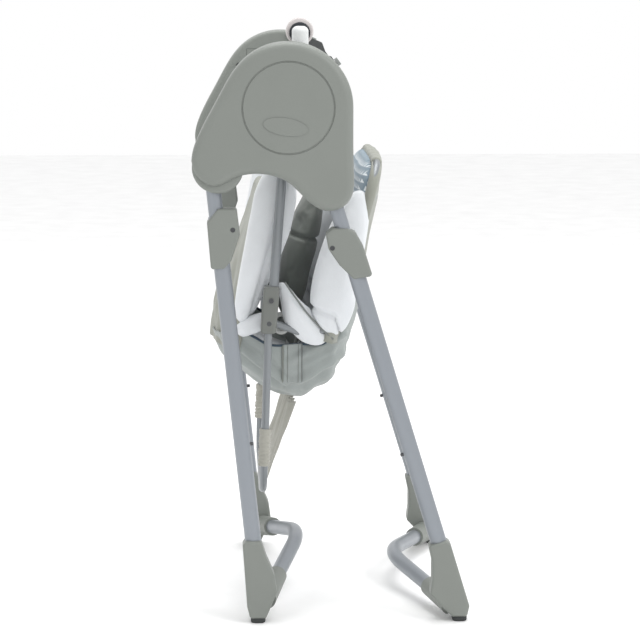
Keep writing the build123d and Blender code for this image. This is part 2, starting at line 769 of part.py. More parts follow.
def toy_cap():
    """Round head of the stowed toy arm, domed at its far end, with a stub to the post."""
    near = POST_AT[1] + CAP_FROM
    with BuildPart() as cap:
        with BuildSketch(side_plane(near)):
            with Locations((POST_AT[0], CAP_Z)):
                Circle(CAP_D / 2)
        extrude(amount=-(CAP_TO - CAP_FROM))
        fillet(cap.faces().sort_by(Axis.Y)[-1].edges(), 14)
        with BuildSketch(side_plane(near)):
            with Locations((POST_AT[0], CAP_Z - 7)):
                Circle(5)
        extrude(amount=CAP_FROM - POST_D / 2 - 0.1)
    return cap.part


def toy_band():
    """Dark rubber ring between post and head."""
    near = POST_AT[1] + CAP_FROM
    with BuildPart() as band:
        with BuildSketch(side_plane(near)):
            with Locations((POST_AT[0], CAP_Z)):
                Circle(CAP_D / 2 - 1.5)
            with Locations((POST_AT[0], CAP_Z - 7)):
                Circle(5.05, mode=Mode.SUBTRACT)
        extrude(amount=3)
    return band.part


# ---------------------------------------------------------------- swing
def swing_axle(side):
    with BuildPart() as axle:
        with BuildSketch(side_plane(side * (ARM_Y - 12))):
            with Locations(HUB):
                Circle(AXLE_D / 2)
        extrude(amount=-side * (HOUSING_OUT - SHELL - 4 - ARM_Y + 12))
        with BuildSketch(side_plane(side * (ARM_Y - 12))):
            with Locations(HUB):
                Circle(AXLE_D / 2 + 4)
        extrude(amount=side * 3)
    return axle.part


def axle_bush(side):
    with BuildPart() as bush:
        with BuildSketch(side_plane(side * (HOUSING_IN - 2))):
            with Locations(HUB):
                Circle(BUSH_D / 2)
        extrude(amount=-side * 24)
        with BuildSketch(side_plane(side * (HOUSING_IN - 2))):
            with Locations(HUB):
                Circle(BUSH_D / 2 + 3)
        extrude(amount=-side * 2)
        with BuildSketch(side_plane(side * (HOUSING_IN - 3))):
            with Locations(HUB):
                Circle(AXLE_D / 2 + RUN)
        extrude(amount=-side * 30, mode=Mode.SUBTRACT)
    return bush.part


def swing_arm(side):
    """Hanger tube with a round eye that is keyed to the axle."""
    run = (Vector(*HUB) - Vector(*ARM_END)).length
    start = Vector(ARM_END[0], side * ARM_Y, ARM_END[1])
    end = Vector(HUB[0], side * ARM_Y, HUB[1])
    with BuildPart() as arm:
        with BuildSketch(Plane(origin=start, x_dir=(0, 1, 0), z_dir=end - start)):
            Circle(ARM_D / 2)
        extrude(amount=run)
        with BuildSketch(side_plane(side * (ARM_Y - 11))):
            with Locations(HUB):
                Circle(AXLE_D / 2 + 8)
        extrude(amount=-side * 29)
        with BuildSketch(side_plane(side * (ARM_Y - 15))):
            with Locations(HUB):
                Circle(AXLE_D / 2 + 0.02)
        extrude(amount=-side * 40, mode=Mode.SUBTRACT)
        with BuildSketch(Plane(origin=start, x_dir=(0, 1, 0), z_dir=end - start)):
            Circle(ARM_D / 2 - 1.5)
        extrude(amount=run - 20, mode=Mode.SUBTRACT)
        with BuildSketch(side_plane(side * (ARM_Y - 10))):
            with Locations(JOINT_SCREW):
                Circle(SCREW_D / 2 + FIT)
        extrude(amount=-side * 20, mode=Mode.SUBTRACT)
    return arm.part


def seat_joint(side):
    """Moulded connector between arm, hoops and lower hoop."""
    with BuildPart() as shell:
        with BuildSketch(side_plane(side * JOINT_IN)) as face:
            with BuildLine():
                Polyline((-110.5, 549), (-84.5, 549), (-88.5, 500), (-91.5, 471), (-116.5, 471),
                         (-114.5, 505), close=True)
            make_face()
            fillet(face.vertices(), 5)
        extrude(amount=-side * (JOINT_OUT - JOINT_IN))
        fillet(shell.faces().sort_by(Axis.Y)[-1 if side > 0 else 0].edges(), 4)
        start = Vector(ARM_END[0], side * ARM_Y, ARM_END[1])
        end = Vector(HUB[0], side * ARM_Y, HUB[1])
        with BuildSketch(Plane(origin=start, x_dir=(0, 1, 0), z_dir=end - start)):
            Circle(ARM_D / 2 + FIT)
        extrude(amount=80, mode=Mode.SUBTRACT)
        top = Vector(LOWER_TOP[0], side * ARM_Y, LOWER_TOP[1])
        foot = Vector(LOWER_END[0], side * ARM_Y, LOWER_END[1])
        with BuildSketch(Plane(origin=top, x_dir=(0, 1, 0), z_dir=foot - top).offset(-0.5)):
            Circle(LOWER_D / 2 + FIT)
        extrude(amount=40, mode=Mode.SUBTRACT)
        with BuildSketch(side_plane(side * (JOINT_IN - 1))):
            with Locations(SEAT_PIVOT):
                Circle(PIVOT_PIN_D / 2 + 0.02)
            with Locations(JOINT_SCREW):
                Circle(SCREW_D / 2 + FIT)
        extrude(amount=-side * 40, mode=Mode.SUBTRACT)
    return shell.part


def pivot_pin(side):
    """Headed pin through the connector that both seat hoops turn on."""
    with BuildPart() as pin:
        with BuildSketch(side_plane(side * (FOOT_Y - 9))):
            with Locations(SEAT_PIVOT):
                Circle(PIVOT_PIN_D / 2)
        extrude(amount=-side * (JOINT_OUT - FOOT_Y + 9))
        with BuildSketch(side_plane(side * (FOOT_Y - 9))):
            with Locations(SEAT_PIVOT):
                Circle(PIVOT_PIN_D / 2 + 3)
        extrude(amount=side * 2)
    return pin.part


def joint_screw(side):
    return screw(JOINT_SCREW, side * (JOINT_OUT + 2.4), side * (JOINT_IN + 2))


def hoop(path, y, corners, diameter, eye):
    """U-shaped tube across the seat, with an eye on each end when it turns on the pins."""
    sides = [(x, -y, z) for x, z in path]
    points = sides + [(x, y, z) for x, z in reversed(path)]
    with BuildPart() as tube:
        with BuildLine() as line:
            FilletPolyline(*points, radius=corners + corners[::-1])
        with BuildSketch(Plane(origin=line.line @ 0, z_dir=line.line % 0)):
            Circle(diameter / 2)
        sweep(path=line.line)
        if eye:
            for side in SIDES.values():
                with BuildSketch(side_plane(side * (y - EYE_HALF))):
                    with Locations(path[0]):
                        Circle(PIVOT_PIN_D / 2 + 4.5)
                extrude(amount=-side * 2 * EYE_HALF)
            with BuildSketch(side_plane(0)):
                with Locations(path[0]):
                    Circle(PIVOT_PIN_D / 2 + RUN)
            extrude(amount=y + HOOP_D, both=True, mode=Mode.SUBTRACT)
    return tube.part


# ---------------------------------------------------------------- soft goods
def cushion(outline, half_width, soften):
    """Closed solid of a padded panel: an outline across the seat, with softened edges."""
    with BuildPart() as pad:
        with BuildSketch(Plane.XZ) as face:
            with BuildLine():
                Polyline(*outline, close=True)
            make_face()
            fillet(face.vertices(), soften)
        extrude(amount=half_width, both=True)
    return pad.part


CUSHIONS = {
    "back_pad": ([(38, 472), (70, 610), (82, 733), (60, 733), (42, 606), (14, 486)], 150, 4),
    "head_pillow": ([(20, 640), (44, 640), (57, 722), (38, 722)], 95, 6),
    "seat_bottom": ([(-147, 402), (-104, 362), (-62, 338), (-28, 354), (0, 392), (-16, 404),
                     (-40, 376), (-64, 362), (-98, 385), (-132, 414)], 165, 4),
    "foot_panel": ([(-176, 505), (-150, 590), (-122, 676), (-106, 676), (-134, 590),
                    (-158, 505)], 145, 4),
    "calf_panel": ([(-68, 332), (-56, 332), (-97, 213), (-107, 213)], 140, 3),
}

# ---------------------------------------------------------------- build and write
os.makedirs("parts", exist_ok=True)

save(outer_cover(-1), "left_outer_cover")
save(right_outer_cover(), "right_outer_cover")
save(left_inner_cover(), "left_inner_cover")
save(right_inner_cover(), "right_inner_cover")

for word, side in SIDES.items():
    for name, leg, rail, outline in (("front", FRONT, FRONT_RAIL, FRONT_BOOT),
                                     ("rear", REAR, REAR_RAIL, REAR_BOOT)):
        save(collar(leg, side), f"{word}_{name}_collar")
        save(boot(leg, rail, outline, side), f"{word}_{name}_boot")
    save(swing_arm(side), f"{word}_swing_arm")

for name, leg, rail, pad_x in (("front", FRONT, FRONT_RAIL, -123), ("rear", REAR, REAR_RAIL, 209)):
    save(Compound([stub_tube(leg, s) for s in (-1, 1)]), f"{name}_stub_tubes")
    save(Compound([leg_tube(leg, s) for s in (-1, 1)]), f"{name}_leg_tubes")
    save(Compound([lower_tube(leg, s) for s in (-1, 1)]), f"{name}_lower_tubes")
    save(Compound([snap_pin(leg, s) for s in (-1, 1)]), f"{name}_snap_pins")
    save(Compound([foot_pad(pad_x, s) for s in (-1, 1)]), f"{name}_foot_pads")
    save(base_rail(rail), f"{name}_base_rail")

save(Compound([collar_screw(FRONT, s) for s in (-1, 1)]), "front_collar_screws")
cover_screws = [screw(spot, s * (HOUSING_IN - 2.4), s * (HOUSING_SPLIT + 14))
                for s in (-1, 1) for spot in SCREW_SPOTS]
save(Compound([collar_screw(REAR, s) for s in (-1, 1)] + cover_screws), "frame_screws")
save(Compound([knuckle(s) for s in (-1, 1)]), "front_knuckles")
save(Compound([knuckle_pin(s) for s in (-1, 1)]), "knuckle_pins")
save(Compound([axle_bush(s) for s in (-1, 1)]), "axle_bushes")
save(Compound([swing_axle(s) for s in (-1, 1)]), "swing_axles")
save(Compound([pivot_pin(s) for s in (-1, 1)]), "hoop_pins")
save(Compound([seat_joint(s) for s in (-1, 1)]), "seat_joints")
save(Compound([joint_screw(s) for s in (-1, 1)]), "seat_joint_screws")

save(hoop([LOWER_TOP, LOWER_END], ARM_Y, [60], LOWER_D, False), "lower_hoop")
save(hoop(HEAD_PATH, HEAD_Y, [45, 60], HOOP_D, True), "head_hoop")
save(hoop(FOOT_PATH, FOOT_Y, [24, 50], HOOP_D, True), "foot_hoop")

save(control_pod(), "control_pod")
save(button(button_spots()[0]), "power_button")
save(button(button_spots()[1]), "timer_button")
save(dial(), "speed_dial")
save(battery_door(), "battery_door")
save(battery_box(), "battery_box")
save(battery_cells(), "battery_cells")
save(circuit_board(), "circuit_board")
save(magnet_lever(), "magnet_lever")
save(cylinder_y(lever_end(), 270.2, 274, MAGNET_R - 0.05), "drive_magnet")
save(drive_coil(), "drive_coil")
save(coil_bracket(), "coil_bracket")
save(speaker(), "speaker")
save(dc_inlet(), "dc_inlet")
save(toy_post(), "toy_post")
save(toy_cap(), "toy_cap")
save(toy_band(), "toy_band")

for name, (outline, half_width, soften) in CUSHIONS.items():
    save(cushion(outline, half_width, soften), name)
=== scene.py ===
import json
import math

import bpy
import numpy as np
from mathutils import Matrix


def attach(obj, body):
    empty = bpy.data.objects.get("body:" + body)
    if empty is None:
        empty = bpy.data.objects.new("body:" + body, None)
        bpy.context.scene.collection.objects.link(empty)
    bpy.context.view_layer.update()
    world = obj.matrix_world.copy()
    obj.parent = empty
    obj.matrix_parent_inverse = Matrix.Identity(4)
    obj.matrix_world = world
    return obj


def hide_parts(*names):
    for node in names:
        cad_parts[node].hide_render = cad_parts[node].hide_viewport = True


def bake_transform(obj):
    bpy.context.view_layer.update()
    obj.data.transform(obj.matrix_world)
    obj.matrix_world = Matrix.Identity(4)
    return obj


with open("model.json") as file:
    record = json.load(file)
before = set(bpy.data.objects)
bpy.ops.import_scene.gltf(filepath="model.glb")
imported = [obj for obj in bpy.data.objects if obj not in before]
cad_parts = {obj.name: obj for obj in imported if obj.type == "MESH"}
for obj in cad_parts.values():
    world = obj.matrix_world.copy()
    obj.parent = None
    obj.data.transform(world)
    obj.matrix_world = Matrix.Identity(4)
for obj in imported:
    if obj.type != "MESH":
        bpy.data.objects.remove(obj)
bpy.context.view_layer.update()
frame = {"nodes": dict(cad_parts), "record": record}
MM = 0.001

# ---- driving sizes, in millimetres unless said ----
HOOP_WRAP = 8.2          # from a hoop's axis to the cloth that wraps it
HEAD_HOOP_Y = 197        # half the distance between the head hoop's sides
FOOT_HOOP_Y = 183
HOOP_CORNER = 60         # bend at the top corners of both hoops
HOOP_FACE_SHARE = 0.88   # share of a cover's width before its edges turn round the hoop
ROLL_ROWS = 16           # rows of a cover that roll over the hoop's top bar
POUCH_Y = 190            # half the width of the seat pouch
CLOTH_GAUGE = 1.6
PIPING_R = 2.2
WEB_WIDTH = 24           # harness webbing
SIM_FRAMES = 20

# hoop centre lines as (X, Z), bottom to top
HEAD_HOOP_LINE = [(-5, 452), (78, 745)]
FOOT_HOOP_LINE = [(-158.9, 436), (-112, 690)]


# ---------------------------------------------------------------- materials

def tint(r, g, b):
    """A colour given as 0 to 255 display values, as a linear colour."""
    c = np.array((r, g, b)) / 255
    c = np.where(c <= 0.04045, c / 12.92, ((c + 0.055) / 1.055) ** 2.4)
    return (*map(float, c), 1.0)


class Val:
    """A socket of a material; arithmetic on it adds Math nodes."""

    def __init__(self, finish, socket):
        self.finish, self.socket = finish, socket

    def calc(self, operation, *values):
        return self.finish.node("Math", {"operation": operation}, dict(enumerate(values)))

    def __add__(self, other): return self.calc("ADD", self, other)
    def __radd__(self, other): return self.calc("ADD", other, self)
    def __sub__(self, other): return self.calc("SUBTRACT", self, other)
    def __rsub__(self, other): return self.calc("SUBTRACT", other, self)
    def __mul__(self, other): return self.calc("MULTIPLY", self, other)
    def __rmul__(self, other): return self.calc("MULTIPLY", other, self)
    def __truediv__(self, other): return self.calc("DIVIDE", self, other)
    def __gt__(self, other): return self.calc("GREATER_THAN", self, other)
    def __abs__(self): return self.calc("ABSOLUTE", self)
    def sin(self): return self.calc("SINE", self)
    def fract(self): return self.calc("FRACT", self)
    def floor(self): return self.calc("FLOOR", self)
    def clip(self): return self.calc("MINIMUM", self.calc("MAXIMUM", self, 0.0), 1.0)


class Finish:
    """One material: its nodes come from node(), and its look goes on the shader's sockets."""

    def __init__(self, name, **constants):
        self.mat = bpy.data.materials.new(name)
        self.mat.use_nodes = True
        self.tree = self.mat.node_tree
        self.shader = self.tree.nodes["Principled BSDF"]
        for key, value in constants.items():
            self.shader.inputs[key.replace("_", " ")].default_value = value
        self.place = self.node("TexCoord", out="Object")

    def node(self, kind, settings=None, sockets=None, out=0):
        made = self.tree.nodes.new("ShaderNode" + kind)
        for key, value in (settings or {}).items():
            setattr(made, key, value)
        for key, value in (sockets or {}).items():
            if isinstance(value, Val):
                self.tree.links.new(value.socket, made.inputs[key])
            else:
                made.inputs[key].default_value = value
        return Val(self, made.outputs[out])

    def noise(self, scale, detail=2.0, rough=0.5):
        return self.node("TexNoise", {}, {"Vector": self.place, "Scale": scale,
                                          "Detail": detail, "Roughness": rough})

    def parts(self, vector):
        return [self.node("SeparateXYZ", {}, {0: vector}, out=axis) for axis in "XYZ"]

    def cloth_map(self):
        """The piece's own cloth coordinates, in metres along and across."""
        return self.parts(self.node("UVMap", {"uv_map": "cloth"}))[:2]

    def blend(self, mask, first, second):
        return self.node("Mix", {"data_type": "RGBA"}, {0: mask, 6: first, 7: second}, out=2)

    def paint(self, **looks):
        for key, value in looks.items():
            self.tree.links.new(value.socket, self.shader.inputs[key.replace("_", " ")])
        return self

    def relief(self, height, depth, strength=1.0):
        """Height, from 0 to 1, becomes relief that is depth metres deep."""
        return self.paint(Normal=self.node("Bump", {}, {"Height": height, "Distance": depth,
                                                        "Strength": strength}))


def moulded(name, colour, rough=0.46, grain=1500.0, depth=0.00012):
    """Moulded plastic with a fine pebble grain, and a slight drift in shade."""
    f = Finish(name, Specular_IOR_Level=0.45)
    drift = f.noise(9.0, 3.0)
    pebble = f.noise(grain, 2.0)
    shade = tuple(c * 0.86 for c in colour[:3]) + (1.0,)
    f.paint(Base_Color=f.blend((drift * 0.9 + pebble * 0.25).clip(), shade, colour),
            Roughness=f.noise(60.0, 3.0) * 0.12 + (rough - 0.06))
    return f.relief(pebble, depth).mat


def painted_tube(name, colour, metal=0.55, rough=0.34):
    """Satin paint with fine metal flake on steel tube."""
    f = Finish(name, Coat_Roughness=0.3)
    flake = f.noise(2600.0, 1.0)
    dark = tuple(c * 0.84 for c in colour[:3]) + (1.0,)
    f.paint(Base_Color=f.blend(flake, dark, colour),
            Roughness=f.noise(35.0, 3.0) * 0.14 + (rough - 0.07),
            Metallic=flake * 0.2 + (metal - 0.1))
    return f.relief(f.noise(900.0, 2.0), 0.00004).mat


def bare_metal(name, colour, rough=0.3):
    """Machined metal with fine turning marks along Y."""
    f = Finish(name)
    marks = (f.parts(f.place)[1] * 9000.0).sin() * 0.5 + 0.5
    f.paint(Base_Color=f.blend(f.noise(40.0, 3.0), tuple(c * 0.8 for c in colour[:3]) + (1.0,),
                               colour),
            Roughness=f.noise(90.0, 2.0) * 0.15 + (rough - 0.07), Metallic=marks * 0.04 + 0.94)
    return f.relief(marks, 0.00003).mat


def rubber(name, colour):
    """Matt rubber with a dusty drift in shade."""
    f = Finish(name, Specular_IOR_Level=0.3)
    dust = f.noise(25.0, 4.0)
    f.paint(Base_Color=f.blend(dust, colour, tuple(min(1, c * 1.6) for c in colour[:3]) + (1.0,)),
            Roughness=dust * 0.15 + 0.7)
    return f.relief(f.noise(1800.0, 2.0), 0.0001).mat


def woven(name, colour, threads=1100.0, depth=0.00016, sheen=0.25):
    """Plain weave from the piece's own cloth coordinates, with slubs and faded folds."""
    f = Finish(name, Sheen_Weight=sheen, Sheen_Roughness=0.5, Specular_IOR_Level=0.2)
    along, across = f.cloth_map()
    weave = (along * (threads * math.pi)).sin() * (across * (threads * math.pi)).sin()
    weave = weave * 0.5 + 0.5
    slub = f.noise(220.0, 3.0, 0.7)
    worn = f.noise(14.0, 4.0, 0.6)
    dark = tuple(c * 0.72 for c in colour[:3]) + (1.0,)
    f.paint(Base_Color=f.blend((weave * 0.35 + slub * 0.3 + worn * 0.5).clip(), dark, colour),
            Roughness=slub * 0.12 + 0.8)
    return f.relief(weave * 0.7 + slub * 0.3, depth).mat


def plush(name, colour, pile=700.0):
    """Short soft pile: fine tufts over slow rolling."""
    f = Finish(name, Sheen_Weight=0.5, Sheen_Roughness=0.4, Specular_IOR_Level=0.15)
    tuft = f.noise(pile, 3.0, 0.7)
    roll = f.noise(30.0, 3.0, 0.6)
    dark = tuple(c * 0.84 for c in colour[:3]) + (1.0,)
    f.paint(Base_Color=f.blend((tuft * 0.5 + roll * 0.6).clip(), dark, colour),
            Roughness=tuft * 0.1 + 0.88)
    return f.relief(tuft * 0.6 + roll * 0.4, 0.0009).mat


PRINT_END = 0.165        # metres from the middle, past which the print runs round the pad's end


def printed(name, ground, figure, pitch=0.0115):
    """Cloth printed with rows of small triangles, every other row moved half a pitch."""
    f = Finish(name, Sheen_Weight=0.2, Specular_IOR_Level=0.2)
    depth, across, up = f.parts(f.place)
    end = abs(across) > PRINT_END
    across = across * (1 - end) + depth * end
    row = up / pitch
    odd = (row.floor() * 0.5).fract()
    height = row.fract()
    column = abs((across / pitch + odd).fract() - 0.5)
    inside = (height * -0.45 + 0.37 - column) > 0.0
    inside = inside * (height > 0.12)
    slub = f.noise(500.0, 3.0)
    f.paint(Base_Color=f.blend((inside * 0.8 + slub * 0.12).clip(), ground, figure),
            Roughness=slub * 0.1 + 0.82)
    return f.relief(slub, 0.0002).mat


SLOT_LOOKS = {
    "housing_grey": moulded("housing_plastic", tint(124, 128, 123)),
    "joint_grey": moulded("joint_plastic", tint(110, 113, 109)),
    "tube_grey": painted_tube("tube_paint", tint(142, 147, 153), 0.45),
    "seat_tube_grey": painted_tube("seat_tube_paint", tint(134, 138, 141), 0.45),
    "steel": bare_metal("dark_steel", tint(92, 93, 95)),
    "bush_bronze": bare_metal("bush_metal", tint(176, 142, 92), 0.4),
    "coil_copper": bare_metal("winding_wire", tint(184, 110, 70), 0.35),
    "inner_plastic": moulded("inside_plastic", tint(70, 72, 72)),
    "cell_wrap": moulded("cell_jacket", tint(60, 84, 96), 0.35, 600.0, 0.00003),
    "board_green": moulded("board_lacquer", tint(34, 84, 58), 0.4),
    "key_grey": moulded("key_plastic", tint(146, 150, 147), 0.4),
    "foot_rubber": rubber("foot_rubber", tint(52, 54, 54)),
    "band_rubber": rubber("band_rubber", tint(44, 46, 50)),
    "post_white": moulded("post_plastic", tint(222, 224, 224), 0.38),
    "cap_grey": moulded("cap_plastic", tint(206, 200, 199), 0.4),
}
WALL_CLOTH = woven("outer_cloth", tint(150, 152, 143))
POUCH_CLOTH = woven("pouch_cloth", tint(156, 162, 160))
BEIGE_CLOTH = woven("calf_cloth", tint(170, 169, 160), 900.0, 0.0002, 0.3)
# Darker grey cloth: on the shade panel its darkness is painted shade; it also colours the first
# binding seam.
DARK_GREY_CLOTH = woven("dark_grey_cloth", tint(128, 132, 127))
NAVY_CORD = woven("piping_cloth", tint(62, 76, 88), 1600.0, 0.0001)
TEAL_CORD = woven("teal_piping", tint(70, 98, 104), 1600.0, 0.0001)
GREY_CORD = woven("grey_piping", tint(126, 130, 128), 1600.0, 0.0001)
WEBBING = woven("strap_webbing", tint(120, 124, 122), 700.0, 0.0003)
WHITE_PLUSH = plush("white_plush", tint(224, 227, 230))
HEAD_PRINT = printed("head_print", tint(112, 130, 142), tint(226, 230, 232))
BUCKLE_PLASTIC = moulded("buckle_plastic", tint(176, 178, 176), 0.4)

for row in frame["record"]["subparts"]:
    look = SLOT_LOOKS.get(row["material_slot"])
    if look:
        for held in frame["nodes"][row["node"]].material_slots:
            held.material = look


# ---------------------------------------------------------------- shape tools

def curve_through(points, count):
    """A smooth curve through points (Catmull-Rom), as count evenly spaced rows."""
    p = np.array(points, float)
    p = np.vstack([2 * p[0] - p[1], p, 2 * p[-1] - p[-2]])
    t = np.linspace(0, 1, 24, endpoint=False)[None, :, None]
    a, b, c, d = (p[i:len(p) - 3 + i, None, :] for i in range(4))
    fine = 0.5 * (2 * b + (c - a) * t + (2 * a - 5 * b + 4 * c - d) * t ** 2
                  + (3 * b - a - 3 * c + d) * t ** 3)
    fine = np.vstack([fine.reshape(-1, p.shape[1]), p[-2:-1]])
    run = np.concatenate([[0], np.cumsum(np.linalg.norm(np.diff(fine, axis=0), axis=1))])
    want = np.linspace(0, run[-1], count)
    return np.stack([np.interp(want, run, fine[:, k]) for k in range(p.shape[1])], 1)


def tangents(line):
    """Unit directions along a line of points."""
    t = np.gradient(line, axis=0)
    return t / np.linalg.norm(t, axis=1, keepdims=True)


def normals(grid):
    """Unit normals of a grid of points."""
    n = np.cross(np.gradient(grid, axis=0), np.gradient(grid, axis=1))
    return n / np.maximum(np.linalg.norm(n, axis=2, keepdims=True), 1e-9)


def skin(name, grid, look, closed=False, poles=False, gauge=0.0, flip=False):
    """A mesh from a grid of points in millimetres, with cloth coordinates in metres.
    closed joins the second direction round; poles draws each end row to one point."""
    g = np.asarray(grid, float) * MM
    rows, cols = g.shape[:2]
    r, c = np.meshgrid(np.arange(rows - 1), np.arange(cols if closed else cols - 1),
                       indexing="ij")
    r, c = r.ravel(), c.ravel()
    right = (c + 1) % cols
    quads = np.stack([r * cols + c, r * cols + right, (r + 1) * cols + right,
                      (r + 1) * cols + c], 1)
    faces = quads[:, ::-1] if flip else quads
    step = np.linalg.norm(np.diff(g, axis=0), axis=2).mean(1)
    along = np.concatenate([[0], np.cumsum(step)])
    ring = np.linalg.norm(np.diff(np.concatenate([g, g[:, :1]], 1), axis=1), axis=2).mean(0)
    across = np.concatenate([[0], np.cumsum(ring)])
    corner_u = np.stack([along[r], along[r], along[r + 1], along[r + 1]], 1)
    corner_v = np.stack([across[c], across[c + 1], across[c + 1], across[c]], 1)
    uv = np.stack([corner_u, corner_v], 2)
    uv = uv[:, ::-1] if flip else uv
    mesh = bpy.data.meshes.new(name)
    points = g.reshape(-1, 3)
    faces_list = faces.tolist()
    uv = uv.reshape(-1, 2)
    if poles:
        top, end = len(points), len(points) + 1
        points = np.vstack([points, g[0].mean(0), g[-1].mean(0)])
        k = np.arange(cols)
        lid = [np.stack([np.full(cols, top), (k + 1) % cols, k], 1),
               np.stack([np.full(cols, end), (rows - 1) * cols + k,
                         (rows - 1) * cols + (k + 1) % cols], 1)]
        for fan in lid:
            fan = fan[:, ::-1] if flip else fan
            faces_list += fan.tolist()
            uv = np.vstack([uv, np.zeros((3 * cols, 2))])
    mesh.from_pydata(points.tolist(), [], faces_list)
    mesh.uv_layers.new(name="cloth").data.foreach_set("uv", uv.ravel())
    mesh.polygons.foreach_set("use_smooth", [True] * len(mesh.polygons))
    mesh.materials.append(look)
    piece = bpy.data.objects.new(name, mesh)
    bpy.context.scene.collection.objects.link(piece)
    if gauge:
        wall = piece.modifiers.new("thickness", "SOLIDIFY")
        wall.thickness, wall.offset = gauge * MM, 0
        harden(piece)
    return piece


def harden(piece):
    """Its modifiers become its mesh."""
    bpy.context.view_layer.update()
    seen = piece.evaluated_get(bpy.context.evaluated_depsgraph_get())
    mesh = bpy.data.meshes.new_from_object(seen)
    piece.modifiers.clear()
    piece.data = mesh
    mesh.polygons.foreach_set("use_smooth", [True] * len(mesh.polygons))
    return piece


def cord_along(name, line, radius, look, sides=10):
    """A round cord about a line of points: a circle square to the line at each point."""
    line = np.asarray(line, float)
    t = tangents(line)
    side = np.cross(t, (0.31, 0.93, 0.2))
    side /= np.linalg.norm(side, axis=1, keepdims=True)
    up = np.cross(t, side)
    turn = np.linspace(0, 2 * math.pi, sides, endpoint=False)
    radius = np.broadcast_to(radius, len(line))[:, None, None]
    grid = (line[:, None] + radius * (np.cos(turn)[None, :, None] * side[:, None]
                                      + np.sin(turn)[None, :, None] * up[:, None]))
    return skin(name, grid, look, closed=True, poles=True)


def cushion(name, middle, half_thick, half_wide, y_mid, look, square=0.62, rows=60, sides=64):
    """A crowned closed form: along a middle line in XZ, each section is a rounded oblong that is
    half_wide in Y and half_thick across the line, both drawn in towards the two ends."""
    line = curve_through(middle, rows)
    share = np.linspace(0, 1, rows)
    ease = np.sqrt(np.clip(1 - np.abs(2 * share - 1) ** 7, 0.0008, 1))
    t = tangents(line)
    out = np.stack([t[:, 1], -t[:, 0]], 1)
    thick = np.interp(share, np.linspace(0, 1, len(half_thick)), half_thick) * ease
    wide = np.interp(share, np.linspace(0, 1, len(half_wide)), half_wide) * (0.35 + 0.65 * ease)
    turn = np.linspace(0, 2 * math.pi, sides, endpoint=False)
    ca, sa = np.cos(turn), np.sin(turn)
    ca, sa = np.sign(ca) * np.abs(ca) ** square, np.sign(sa) * np.abs(sa) ** (square + 0.2)
    grid = np.empty((rows, sides, 3))
    grid[..., 0] = line[:, :1] + out[:, :1] * thick[:, None] * sa
    grid[..., 2] = line[:, 1:] + out[:, 1:] * thick[:, None] * sa
    grid[..., 1] = y_mid + wide[:, None] * ca
    return skin(name, grid, look, closed=True, poles=True)


def inflate(piece, cap, voxel=5.0, pressure=4.0):
    """Remeshed evenly, blown up from inside as cloth, and held within cap of where it began."""
    piece.modifiers.new("even", "REMESH").mode = "VOXEL"
    piece.modifiers["even"].voxel_size = voxel * MM
    harden(piece)
    count = len(piece.data.vertices)
    start = np.empty(count * 3)
    piece.data.vertices.foreach_get("co", start)
    start = start.reshape(-1, 3)
    blown = piece.modifiers.new("cloth", "CLOTH")
    blown.settings.quality = 5
    blown.settings.mass = 0.2
    blown.settings.use_pressure = True
    blown.settings.uniform_pressure_force = pressure
    blown.settings.effector_weights.gravity = 0
    blown.point_cache.frame_end = SIM_FRAMES
    for number in range(1, SIM_FRAMES + 1):
        bpy.context.scene.frame_set(number)
    seen = piece.evaluated_get(bpy.context.evaluated_depsgraph_get())
    moved = np.empty(count * 3)
    seen.data.vertices.foreach_get("co", moved)
    piece.modifiers.clear()
    bpy.context.scene.frame_set(1)
    shift = moved.reshape(-1, 3) - start
    size = np.linalg.norm(shift, axis=1, keepdims=True)
    start = start + shift * np.minimum(1, cap * MM / np.maximum(size, 1e-9))
    piece.data.vertices.foreach_set("co", start.ravel())
    round_off = piece.modifiers.new("round", "SUBSURF")
    round_off.levels = round_off.render_levels = 1
    return harden(piece)


def shape(piece, change):
    """Moves a piece's points: change gets the points and their normals, in millimetres."""
    count = len(piece.data.vertices)
    at, facing = np.empty(count * 3), np.empty(count * 3)
    piece.data.vertices.foreach_get("co", at)
    piece.data.vertices.foreach_get("normal", facing)
    at, facing = at.reshape(-1, 3) / MM, facing.reshape(-1, 3)
    piece.data.vertices.foreach_set("co", (change(at, facing) * MM).ravel())
    piece.data.update()
    return piece


def seamed(piece, distance, width=5.0, depth=4.0):
    """A sewn channel: points within width of distance(points) = 0 sink along their normals."""
    return shape(piece, lambda at, facing: at - facing * (
        depth * np.exp(-(distance(at) / width) ** 2))[:, None])


def folds(along, across, seed, depth, count=7):
    """Wrinkles: a seeded sum of slanted sine ripples over two shares from 0 to 1."""
    draw = np.random.default_rng(seed)
    total = np.zeros(np.broadcast(along, across).shape)
    for _ in range(count):
        a, b = draw.uniform(-9, 9), draw.uniform(4, 18)
        wave = np.sin(a * along * 2 + b * across * 2 + draw.uniform(0, 6.3)
                      + 1.2 * np.sin(3 * along + draw.uniform(0, 6.3)))
        total += np.sign(wave) * np.abs(wave) ** 1.4 * draw.uniform(0.4, 1)
    return total * depth / count


# ---------------------------------------------------------------- covers on the hoops

